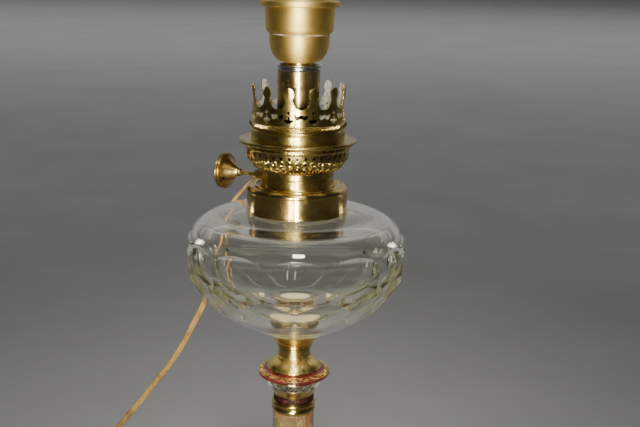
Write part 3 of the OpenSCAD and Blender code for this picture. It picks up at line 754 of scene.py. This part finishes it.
turned("holder_cap",
       [(4.95, 0), (7.9, 0)]
       + spline([(9.4, 0.35), (12.2, 1.3), (14.6, 3.6), (16.3, 7), (17.2, 11), (17.4, 14.6)], 5)
       + [(17.4, 16), (16.5, 16), (16.4, 12.6), (15.6, 9.8), (14, 6.8), (11.6, 4.2), (8.4, 2.6), (4.95, 2.6)],
       0.3, name="lampholder_cap")
turned("holder_shell",
       [(16.5, 0), (17.5, 0), (17.8, 0.3), (19.2, 1.7), (19.45, 2.6), (20, 14.6), (20.05, 15.1), (20.5, 15.4),
        (22.5, 15.4), (22.9, 15.8), (22.9, 18.1), (22.4, 18.6), (19, 18.6), (18.6, 18.1), (18.6, 3),
        (16.5, 1.2)], 0.35, name="lampholder_shell")


# -------- burner

turned("wick_tube_rim",
       [(11.6, 0), (12.45, 0), (12.5, 0.5), (12.75, 0.8), (12.75, 1.4), (12.5, 1.8), (12.6, 2.6),
        (12.95, 3.1), (12.8, 3.6), (12.2, 3.7), (11.8, 3.5), (11.6, 3)], 0.3, name="wick_tube_lip")

GALLERY_R = 26.9
# The crown's plain wall, below the bottom of its gaps
WALL = 12
CROWN_Z = low("chimney_gallery").z + WALL
FINGERS = 12
PITCH = tau * GALLERY_R / FINGERS
# In degrees round the lamp
FIRST_FINGER = -71.4
# Neighbouring sectors of the sheet meet on a gap's flank, this far from its middle and this high
SEAM, SEAM_TOP = 4.02, 2.5
TIP = 12.3
# Half a finger, from the middle of a gap to the tip: across, up from the top of the plain wall
HALF_FINGER = [(0, 0), (1.3, 0.1), (2.4, 0.6), (3.3, 1.5), (SEAM, SEAM_TOP), (4.5, 3.6), (4.9, 4.9),
               (5.1, 6), (5, 6.5), (4.7, 6.7), (4.35, 6.8), (4.15, 7.3), (4.1, 8), (4.15, 8.7),
               (4.25, 9.4), (4.45, 10.1), (4.75, 10.8), (5.2, 11.4), (5.75, 11.85), (6.4, 12.15),
               (PITCH / 2, TIP)]
GAP_POINTS = 5
# The right halves of two holes, from the top down
HALF_MOUSTACHE = [(0, 1.45), (1.1, 0.8), (2.2, 0.75), (3.2, 1.2), (4, 1.1), (3.6, -0.7), (2.6, -1.65),
                  (1.5, -1.7), (0.6, -1.15), (0, -0.85)]
HALF_LILY = [(0.4, 2.9), (0.5, 1.3), (0.95, 1), (1.7, 1.25), (2.9, 0.5), (2.1, -0.45), (1.4, -0.8),
             (1, -1.8), (0, -3.1)]
# The heights of the moustache below each gap, and of the round eye and the lily below each finger
MOUSTACHE_Z, EYE_Z, LILY_Z = -3.9, -1.8, -6.5
EYE_R = 0.95
SHEET = 0.55
# How far the crown draws in below its fingers, and how far a finger's middle stands out from its sides
WAIST, CUPPED = 0.35, 0.25
# The small tongue bent out below each finger: across, up and outward
TONGUE = [(-0.6, -8.6, 0), (0.6, -8.6, 0), (0.4, -7.7, 0.35), (0, -7.2, 0.6), (-0.4, -7.7, 0.35)]


def both_halves(half, x, y):
    """The outline whose right half is given, moved to (x, y)."""
    whole = half + [(-across, up) for across, up in reversed(half) if across > 0]
    return [(x + across, y + up) for across, up in whole]


def dots(x, y, r, count=12):
    return [(x + r * cos(tau * k / count), y + r * sin(tau * k / count)) for k in range(count)]


def make_gallery():
    """The crown: one strip of sheet brass, pierced, cut into fingers, bent round and flared by hand."""
    rng = random.Random(7)
    lean = [1.0 + rng.uniform(-0.7, 0.7) for _ in range(FINGERS)]
    sway = [rng.uniform(-0.5, 0.5) for _ in range(FINGERS)]
    middle = PITCH / 2
    gap_half, flank = HALF_FINGER[:GAP_POINTS], HALF_FINGER[GAP_POINTS:]
    seam_rows = [(SEAM_TOP + WALL) * k / 12 - WALL for k in range(13)]
    outline = [(SEAM + PITCH * k / 14, -WALL) for k in range(14)]
    outline += [(SEAM + PITCH, y) for y in seam_rows]
    outline += [(PITCH + x, y) for x, y in reversed(gap_half[:-1])]
    outline += [(PITCH - x, y) for x, y in gap_half[1:] + flank] + list(reversed(flank[:-1]))
    outline += [(SEAM, y) for y in reversed(seam_rows[1:])]
    holes = [both_halves(HALF_MOUSTACHE, PITCH, MOUSTACHE_Z), dots(middle, EYE_Z, EYE_R),
             both_halves(HALF_LILY, middle, LILY_Z)]
    flat = pierced(outline, holes, 1.0)

    def place(copy, u, v):
        rise = max(v, 0) / TIP
        angle = (u - middle) / GALLERY_R + sway[copy] / GALLERY_R * rise ** 2
        radius = GALLERY_R - WAIST * sin(clamped((v + 2) / 8) * pi) + lean[copy] * rise ** 2.2
        radius += CUPPED * cos((u - middle) * 1.1) * rise ** 3
        angle += radians(FIRST_FINGER + 360 / FINGERS * copy)
        return Vector((radius * cos(angle), radius * sin(angle), CROWN_Z + v))

    bm = bmesh.new()
    bent_sheet(bm, flat, place, FINGERS, SHEET)
    piece = finished("gallery_crown", bm, "brass_burner", ("chimney_gallery",), sharp=30, bevel=(0.09, 40, 1))
    piece.data.materials.append(MATERIALS["patina"])
    tongues = bmesh.new()
    for copy in range(FINGERS):
        faces = []
        for depth in (0.05, -0.35):
            corners = [(place(copy, middle + x, v), out + depth) for x, v, out in TONGUE]
            faces.append([tongues.verts.new(p + Vector((*p.xy, 0)).normalized() * out) for p, out in corners])
        front, back = faces
        tongues.faces.new(front)
        tongues.faces.new(list(reversed(back)))
        for i in range(len(TONGUE)):
            tongues.faces.new((front[i], front[i - 1], back[i - 1], back[i]))
    face_outward(tongues)
    finished("gallery_tongues", tongues, "brass_bright", sharp=30)


make_gallery()


RIBS = 124


def milled(angle, r, z):
    """Fine upright ribs round the top bead of the gallery's band."""
    on_bead = 8.4 < z < 10.4 and r > 27.8
    return r + 0.45 * max(0, cos(RIBS * angle)) - 0.15 if on_bead else r


turned("gallery_band",
       [(26.95, 0), (27.5, 0), (27.5, 4.9), (27.75, 5.2), (27.95, 5.8), (27.7, 6.3), (27.4, 6.6), (27.4, 7.1),
        (27.9, 7.5), (28.15, 7.9), (28.05, 8.3), (27.9, 8.45), (28.1, 8.7), (28.15, 9.4), (27.9, 10.2),
        (27.3, 10.6), (26.95, 10.7), (26.95, 7.9), (23, 7.9), (23, 7.3), (26.95, 7.3)],
       0.12, 8 * RIBS, shape=milled, steps=2)
turned("basket_dish",
       [(25.95, 0), (26.6, 0), (27.3, 0.9), (29.5, 0.85), (31.5, 0.6), (33, 0.35), (34, 0.35), (34.55, 0.9),
        (34.6, 1.6), (34.2, 2.2), (33.4, 2.35), (32.4, 2.1), (30, 1.75), (27.4, 1.9), (26.75, 2.4),
        (26.6, 3.2), (26.6, 5.6), (25.95, 5.6)], 0.3, name="basket_rim")

BOWL = [(21.9, 0), (23.6, 0.9), (25.6, 2.4), (27.4, 4.4), (29, 7), (30, 9.6), (30.4, 12), (30.5, 12.9),
        (31.1, 13.4), (31.5, 14), (31.3, 14.7), (31.1, 15.1), (31.7, 15.8), (32.7, 16.5)]
BOWL_HOLES = 40
BOWL_MEAN_R = 27.5
BOWL_SHEET = 0.6
# The heights of the rows of diamonds, eyelets and slits above the bowl's foot
DIAMOND_Z, EYELET_Z, SLIT_Z = 10.9, 7.2, 3.1


def make_bowl():
    """The basket's bowl: diamonds, raised eyelets and slits in rows, pressed in thin brass."""
    curve = spline(BOWL, 4)
    lengths = [0]
    for a, b in zip(curve, curve[1:]):
        lengths.append(lengths[-1] + (b - a).length)
    base = high("burner_neck").z
    pitch = tau * BOWL_MEAN_R / BOWL_HOLES

    def along(v):
        v = min(max(v, 0), lengths[-1])
        i = next(k for k, length in enumerate(lengths) if length >= v or k == len(lengths) - 1)
        i = max(i, 1)
        t = (v - lengths[i - 1]) / (lengths[i] - lengths[i - 1])
        return curve[i - 1].lerp(curve[i], t), (curve[i] - curve[i - 1]).normalized()

    def at_height(z):
        return next(length for point, length in zip(curve, lengths) if point.y >= z)

    diamond, eyelet, slit = (at_height(z) for z in (DIAMOND_Z, EYELET_Z, SLIT_Z))
    rows = 24
    outline = [(-pitch / 2 + pitch * k / 6, 0) for k in range(6)]
    outline += [(pitch / 2, lengths[-1] * k / rows) for k in range(rows)]
    outline += [(pitch / 2 - pitch * k / 6, lengths[-1]) for k in range(6)]
    outline += [(-pitch / 2, lengths[-1] * k / rows) for k in range(rows, 0, -1)]
    # A diamond, an eyelet with a pinhole at each side below it, and a pointed slit
    holes = [[(0, diamond - 1.35), (1.0, diamond), (0, diamond + 1.35), (-1.0, diamond)],
             dots(0, eyelet, 0.75), dots(-1.45, eyelet - 1.9, 0.36, 8), dots(1.45, eyelet - 1.9, 0.36, 8),
             [(-0.4, slit - 0.9), (0, slit - 1.4), (0.4, slit - 0.9), (0.55, slit + 0.6), (0, slit + 1.3),
              (-0.55, slit + 0.6)]]
    flat = pierced(outline, holes, 0.5)

    def ridge(distance, width):
        return exp(-(distance / width) ** 2)

    def place(copy, u, v):
        point, tangent = along(v)
        out = Vector((tangent.y, -tangent.x))
        # A ring round each eyelet, an oval one round each slit, and a groove between neighbours
        relief = 0.55 * ridge(hypot(u, v - eyelet) - 1.2, 0.32)
        relief += 0.5 * ridge(hypot(u, (v - slit) * 0.6) - 1.15, 0.3)
        relief -= 0.35 * ridge(abs(u) - pitch / 2, 0.45) * ridge(v - slit - 1.5, 3.2)
        point = point + out * relief
        angle = u / BOWL_MEAN_R + tau * copy / BOWL_HOLES
        return Vector((point.x * cos(angle), point.x * sin(angle), base + point.y))

    bm = bmesh.new()
    bent_sheet(bm, flat, place, BOWL_HOLES, BOWL_SHEET)
    piece = finished("basket_bowl", bm, "brass_burner", ("pierced_bowl",), sharp=35)
    # Its inner side is brass_dull, painted near-black at this height: soot and painted shade
    piece.data.materials.append(MATERIALS["brass_dull"])


make_bowl()

turned("burner_neck",
       [(13, 0), (21, 0), (21, 9.3), (21.9, 9.4), (22.1, 9.7), (22.1, 10.2), (21.7, 10.8), (21.65, 11.4),
        (21.65, 14.9), (21.4, 15.3), (21.4, 15.7), (21.8, 16.1), (21.8, 19.3), (21, 19.3), (20.6, 1.5),
        (13, 1.5)], 0.2)
turned("font_collar",
       [(27.2, 0), (30.1, 0), (30.4, 0.3), (30.3, 0.7), (29.9, 1.1), (29.8, 1.6), (29.8, 12.2), (30, 12.7),
        (30, 13.4), (29.7, 14.4), (29, 15.2), (28.2, 15.6), (27.6, 15.5), (27.2, 15.1), (25.9, 15.1),
        (25.5, 15.9), (24.6, 16.4), (23.8, 16.1), (23.3, 15.4), (22.4, 15.4), (22.2, 15), (21, 15),
        (21, 11.2), (27.2, 11.2)], 0.4)


# -------- winder

WINDER_WAY = Vector((-0.883, 0.469, 0)).normalized()
# From the middle of the shaft to the knob's foot
KNOB_FOOT = 12.1


def facing(place, way):
    """A frame at a place, with its local +Z along way."""
    return Matrix.Translation(place) @ way.to_track_quat("Z", "Y").to_matrix().to_4x4()


def drilled(piece, place, radius, depth):
    """Cuts a round hole along the place's local Z; lengths are in millimetres."""
    bm = bmesh.new()
    bmesh.ops.create_cone(bm, cap_ends=True, segments=20, radius1=radius, radius2=radius, depth=depth,
                          matrix=place)
    bmesh.ops.scale(bm, vec=(MM, MM, MM), verts=bm.verts)
    mesh = new_mesh("drill", bm)
    # The hole's wall takes the dark metal: painted shade inside the hole
    mesh.materials.append(MATERIALS["dark_ground_and_hole_shade"])
    drill = new_object("drill", mesh)
    cut = piece.modifiers.new("hole", "BOOLEAN")
    cut.operation = "DIFFERENCE"
    cut.solver = "EXACT"
    cut.material_mode = "TRANSFER"
    cut.object = drill
    shaped = bpy.data.meshes.new_from_object(piece.evaluated_get(bpy.context.evaluated_depsgraph_get()))
    piece.modifiers.remove(cut)
    piece.data = shaped
    bpy.data.objects.remove(drill)


SHAFT_MIDDLE = (low("winder_shaft") + high("winder_shaft")) / 2
KNOB_FRAME = facing(SHAFT_MIDDLE + WINDER_WAY * KNOB_FOOT, WINDER_WAY)
KNOB_STEM = [(1.32, 0), (2.1, 0), (2.35, 0.5), (2.35, 1.2)]
KNOB_BELL = [(2.7, 1.8), (3.3, 2.8), (4.3, 4.1), (5.8, 6.1), (7.4, 7.9), (8.6, 8.8), (9.3, 9.05)]
INNER_BEAD = [(9.7, 9.2), (10.4, 9.5), (10.65, 10.1), (10.3, 10.7), (9.9, 10.9)]
OUTER_BEAD = [(10, 11), (10.5, 11.3), (10.65, 11.9), (10.3, 12.4), (9.7, 12.6), (9.2, 12.5)]
KNOB_FACE = [(9, 12.1), (7.5, 11.8), (5, 11.7), (2.4, 11.8), (1.9, 12.1), (1.32, 12.1)]
knob = turned("winder_knob",
              KNOB_STEM + spline(KNOB_BELL, 3) + spline(INNER_BEAD, 4) + spline(OUTER_BEAD, 4) + KNOB_FACE,
              0.2, 96, place=KNOB_FRAME, body="winder")
knob.data.materials[0] = MATERIALS["bronze"]
# The small hole in the bell, low on the side towards the camera
HOLE_WAY = Vector((-0.418, -0.787, -0.454))
HOLE_HEIGHT, HOLE_OUT = 8.1, 8
drilled(knob, facing(KNOB_FRAME @ Vector((0, 0, HOLE_HEIGHT)) + HOLE_WAY * HOLE_OUT, HOLE_WAY), 0.85, 4.6)


# -------- font

FLATS = 12
FLAT_R = 63.9
EDGE_R = FLAT_R / cos(pi / FLATS)
# The planes' heights and how many degrees they lean; a facet's plane passes FACET_IN inside the widest edge
FLAT_Z, FLAT_LEAN = 60, 3.9
FACET_Z, FACET_LEAN, FACET_IN = 35, 37, 3.5
NECK_IN, NECK_OUT, NECK_TOP = 21.4, 24.6, 84.5
OUTER = [(17, 0), (19.5, 0.4), (25, 3), (35, 8.4), (45, 14.4), (54, 21.6), (60, 28.6), (64.6, 35.6),
         (66.1, 45), (EDGE_R, 53), (65.9, 56.4), (64.6, 60.6), (62.3, 64.8), (58.6, 68.6), (52, 72.2),
         (44, 74.3), (32, 75), (NECK_OUT, 75.2)]
INNER = [(NECK_IN, 71.6), (26, 70.4), (40, 69.6), (52, 67.2), (58.8, 62), (61.2, 54), (60.2, 43),
         (54, 32.4), (45, 22.4), (34, 12.6), (26, 8.6), (20, 8), (10, 8), (0, 8)]


def make_font():
    """Pressed and cut glass: twelve upright flats, and twelve facets below them that end in points."""
    neck = [(NECK_OUT, NECK_TOP), (NECK_IN, NECK_TOP)]
    bm = bmesh.new()
    spin(bm, [(0, 0), (15, 0)] + spline(OUTER, 4) + neck + spline(INNER, 4), False, 192)
    cuts = []
    for k in range(FLATS):
        cuts.append((k, FLAT_R, FLAT_Z, FLAT_LEAN))
        cuts.append((k + 0.5, EDGE_R - FACET_IN, FACET_Z, FACET_LEAN))
    for k, radius, height, lean in cuts:
        angle = tau * k / FLATS
        lean = radians(lean)
        out = Vector((cos(angle), sin(angle), 0))
        normal = out * cos(lean) - Vector((0, 0, sin(lean)))
        result = bmesh.ops.bisect_plane(bm, geom=bm.verts[:] + bm.edges[:] + bm.faces[:], dist=1e-4,
                                        plane_co=out * radius + Vector((0, 0, height)), plane_no=normal,
                                        clear_outer=True)
        edges = [e for e in result["geom_cut"] if isinstance(e, bmesh.types.BMEdge) and e.is_boundary]
        bmesh.ops.edgeloop_fill(bm, edges=edges)
    bmesh.ops.dissolve_degenerate(bm, dist=1e-4, edges=bm.edges)
    bmesh.ops.translate(bm, vec=(0, 0, low("glass_font").z), verts=bm.verts)
    face_outward(bm)
    font = finished("font_glass", bm, "glass_clear", ("glass_font",), sharp=12, bevel=(0.45, 12, 2))
    font.visible_shadow = False
    GLASS_ONLY.objects.link(font)


make_font()


# -------- stem

# The radius of the hole for the tie rod, and of the wider one through the capital's middle pieces
ROD_HOLE = 3.3
CORE = 9
turned("font_cup",
       [(ROD_HOLE, 0), (10.7, 0), (11.1, 0.4), (11.1, 0.9), (10.9, 1.4), (11.3, 2.2), (12.2, 3.3),
        (13.6, 4.7), (15.3, 6.7), (16.2, 8), (16.7, 8.8), (16.5, 9.2), (15.2, 9.2), (13, 6.2), (7.6, 6.2),
        (7.6, 2.2), (ROD_HOLE, 2.2)], 0.35)
turned("stem_spool",
       [(ROD_HOLE, 0), (10.2, 0), (10.75, 0.35), (10.7, 0.8), (10.1, 1.2), (9.85, 1.8), (9.85, 6.8),
        (9.6, 7.2), (9.3, 7.3), (9.3, 7.8), (ROD_HOLE, 7.8)])
turned("domed_disc",
       [(ROD_HOLE, 0), (CORE, 0), (CORE, 5.8), (16.2, 5.8), (16.65, 6.2), (16.65, 6.7), (16.1, 7.2)]
       + spline([(15.6, 8.2), (14.4, 9.6), (12.9, 10.8), (11.6, 11.6)], 4)
       + [(10.9, 11.9), (10.6, 12.3), (10.2, 12.5), (ROD_HOLE, 12.5)], 0.3)
turned("capital_cone",
       [(ROD_HOLE, 0), (CORE, 0), (CORE, 4.3), (12.3, 4.3), (12.45, 5), (12.8, 5.6), (14.9, 9.4),
        (14.9, 9.7), (12.5, 9.7), (12.5, 15.7), (ROD_HOLE, 15.7)])
RING_PAIR = ([(ROD_HOLE, 0), (12.6, 0)]
             + spline([(12.7, 0.1), (13.25, 0.8), (13.45, 1.9), (13.2, 3), (12.7, 3.7)], 5)
             + [(12.75, 4.1), (13.1, 4.4), (13.45, 5), (13.55, 5.7), (13.3, 6.4), (12.8, 6.8)]
             + [(ROD_HOLE, 6.8)])
turned("capital_torus_ring", RING_PAIR, 0.2, name="capital_ring_turned")
turned("lower_torus_ring", RING_PAIR, 0.2, name="foot_ring_turned")
# Half the width of a scroll's line and of a bead, and half a bead's length
LINE, BEAD, BEAD_HALF = 0.2, 0.34, Vector((0.3, 0))
# In shares of the band's height, how far the stem swings and how large a curl is
SWING, CURL = 0.4, 0.36
CURL_TURNS = 1.35


def spiral(turns, size, start, hand, count=16):
    """A curl that runs in from its outer end at the origin."""
    centre = Vector((-size * cos(start), -size * sin(start)))
    points = []
    for k in range(count):
        t = k / (count - 1)
        a = start + hand * turns * tau * t
        r = size * (1 - 0.82 * t)
        points.append(centre + Vector((r * cos(a), r * sin(a))))
    return points


def running_scroll(length, height, waves):
    """Lines that fill a band: a waving stem, curls in its bends, beads between, and a line at each edge."""
    wave = length / waves
    steps = 12
    lines = [([Vector((wave * k / steps, height * SWING * sin(tau * k / steps)))
               for k in range(waves * steps + 1)], LINE)]
    for side in (-0.5, 0.5):
        lines.append(([Vector((wave * k / 6, height * side)) for k in range(waves * 6 + 1)], LINE))
    for k in range(waves * 2):
        hand = 1 if k % 2 == 0 else -1
        crest = Vector((wave * (k + 0.5) / 2, hand * height * SWING))
        curl = spiral(CURL_TURNS, height * CURL, pi / 2 * hand, -hand)
        lines.append(([p + crest for p in curl], LINE))
        bead = Vector((wave * k / 2, -hand * height * CURL))
        lines.append(([bead - BEAD_HALF, bead, bead + BEAD_HALF], BEAD))
    return lines


def relief_band(name, slot, lines, place, thick):
    """Wire-like relief laid on a turned surface: place(u, v) gives a point and the surface's normal there."""
    bm = bmesh.new()
    for line, width in lines:
        spots = [place(p.x, p.y) for p in line]
        last = len(spots) - 1
        # Lifted a little, with its ends drawn in
        sweep(bm, [p + n * 0.05 for p, n in spots],
              lambda i, w=width, m=last: oval(2 * w * (1 if 0 < i < m else 0.45), thick),
              lambda i, s=spots: (s[min(i + 1, len(s) - 1)][0] - s[max(i - 1, 0)][0]).cross(s[i][1]))
    face_outward(bm)
    finished(name, bm, slot, sharp=50, weighted=False)


def on_slope(base, foot, head, radius):
    """place() for a band on the cone between two (radius, height) points; u is measured at a radius."""
    foot, head = Vector(foot), Vector(head)
    middle, tangent = (foot + head) / 2, (head - foot).normalized()

    def place(u, v):
        point = middle + tangent * v
        angle = u / radius
        ring = Vector((cos(angle), sin(angle), 0))
        normal = ring * tangent.y + Vector((0, 0, -tangent.x))
        return ring * point.x + Vector((0, 0, base + point.y)), normal

    return place


def scrolled_ring(node, profile, foot, head, waves, relief_slot, thick=0.5, ground=None, share=0.9):
    """A turned ring with scrolls on a share of the slope from foot to head. ground is the slot under them."""
    base = turned(node, profile, 0.3)
    if ground:
        base.data.materials[0] = MATERIALS[ground]
    foot, head = Vector(foot), Vector(head)
    radius = (foot.x + head.x) / 2
    height = (head - foot).length * share
    lines = running_scroll(tau * radius, height, waves)
    place = on_slope(low(node).z, foot, head, radius)
    relief_band(node + "_turned_scrolls", relief_slot, lines, place, thick)


scrolled_ring("enamel_ring",
              [(CORE, 0), (18.3, 0), (18.8, 0.15), (20.5, 0.95), (21.75, 2), (22.1, 2.7), (21.9, 3.3),
               (20.6, 4.3), (17.2, 5.8), (CORE, 5.8)],
              (18.9, 0.2), (21.8, 2.3), 18, "brass_bright", share=0.72)
UPPER_SCROLLS_R = 20
relief_band("enamel_ring_upper_scrolls", "brass_bright", running_scroll(tau * UPPER_SCROLLS_R, 2.9, 17),
            on_slope(low("enamel_ring").z, (21.9, 3.4), (18.4, 5.25), UPPER_SCROLLS_R), 0.6)
scrolled_ring("scroll_ring",
              [(12.5, 0), (15, 0), (15.3, 0.5), (15.8, 2.2), (16.1, 4.4), (16, 5), (12.5, 5)],
              (15.2, 0.3), (16.05, 4.7), 15, "silvered", 1.1, "dark_ground_and_hole_shade")
BAND_R = 12.3
turned("red_band", [(CORE, 0), (BAND_R, 0), (BAND_R, 4.3), (CORE, 4.3)], 0.2)
relief_band("red_band_scrolls", "brass_dull", running_scroll(tau * BAND_R, 3.2, 14),
            on_slope(low("red_band").z, (BAND_R, 0.4), (BAND_R, 3.9), BAND_R), 0.25)
scrolled_ring("lower_enamel_ring",
              [(ROD_HOLE, 0), (24, 0), (24.8, 0.4), (25, 1.2), (24.8, 2.3), (22.4, 3.8), (17.5, 5.6),
               (15.3, 7.1), (14.7, 8), (14.7, 9), (ROD_HOLE, 9)], (24.6, 2.5), (18.2, 5.3), 14, "brass_old")
turned("onyx_column", [(4.8, 0), (12.8, 0), (12.8, 132.5), (4.8, 132.5)], 0.5)


# -------- base

def slab(name, node, chamfer, edge):
    """A square slab with a cut chamfer round its top and slightly worn corners."""
    first, last = low(node), high(node)
    half = (last.x - first.x) / 2
    bm = bmesh.new()
    rings = []
    for z, r in ((first.z, half), (last.z - chamfer, half), (last.z, half - chamfer)):
        rings.append([bm.verts.new((sx * r, sy * r, z)) for sx, sy in ((-1, -1), (1, -1), (1, 1), (-1, 1))])
    for lower, upper in zip(rings, rings[1:]):
        for k in range(4):
            bm.faces.new((lower[k], lower[(k + 1) % 4], upper[(k + 1) % 4], upper[k]))
    bm.faces.new(list(reversed(rings[0])))
    bm.faces.new(rings[-1])
    finished(name, bm, SLOTS[node], (node,), sharp=80, bevel=(edge, 30, 3))


slab("plinth_cut", "plinth_slab", 3, 0.7)
slab("plinth_band_cast", "plinth_band", 1.5, 0.4)
slab("step_cut", "step_slab", 3, 0.7)


# -------- CAD nodes that stay as they are

WORN_EDGE, FINE_EDGE = 0.25, 0.12
FINE_NODES = ("winder_cogs", "terminal_screws")


def dress_cad_nodes():
    """Gives every CAD node that still shows its material and softened edges."""
    for name, node in frame["nodes"].items():
        node.data.materials.clear()
        node.data.materials.append(MATERIALS[SLOTS[name]])
        if not node.hide_render:
            soften(node, FINE_EDGE if name in FINE_NODES else WORN_EDGE, 35)
            weigh(node)


dress_cad_nodes()
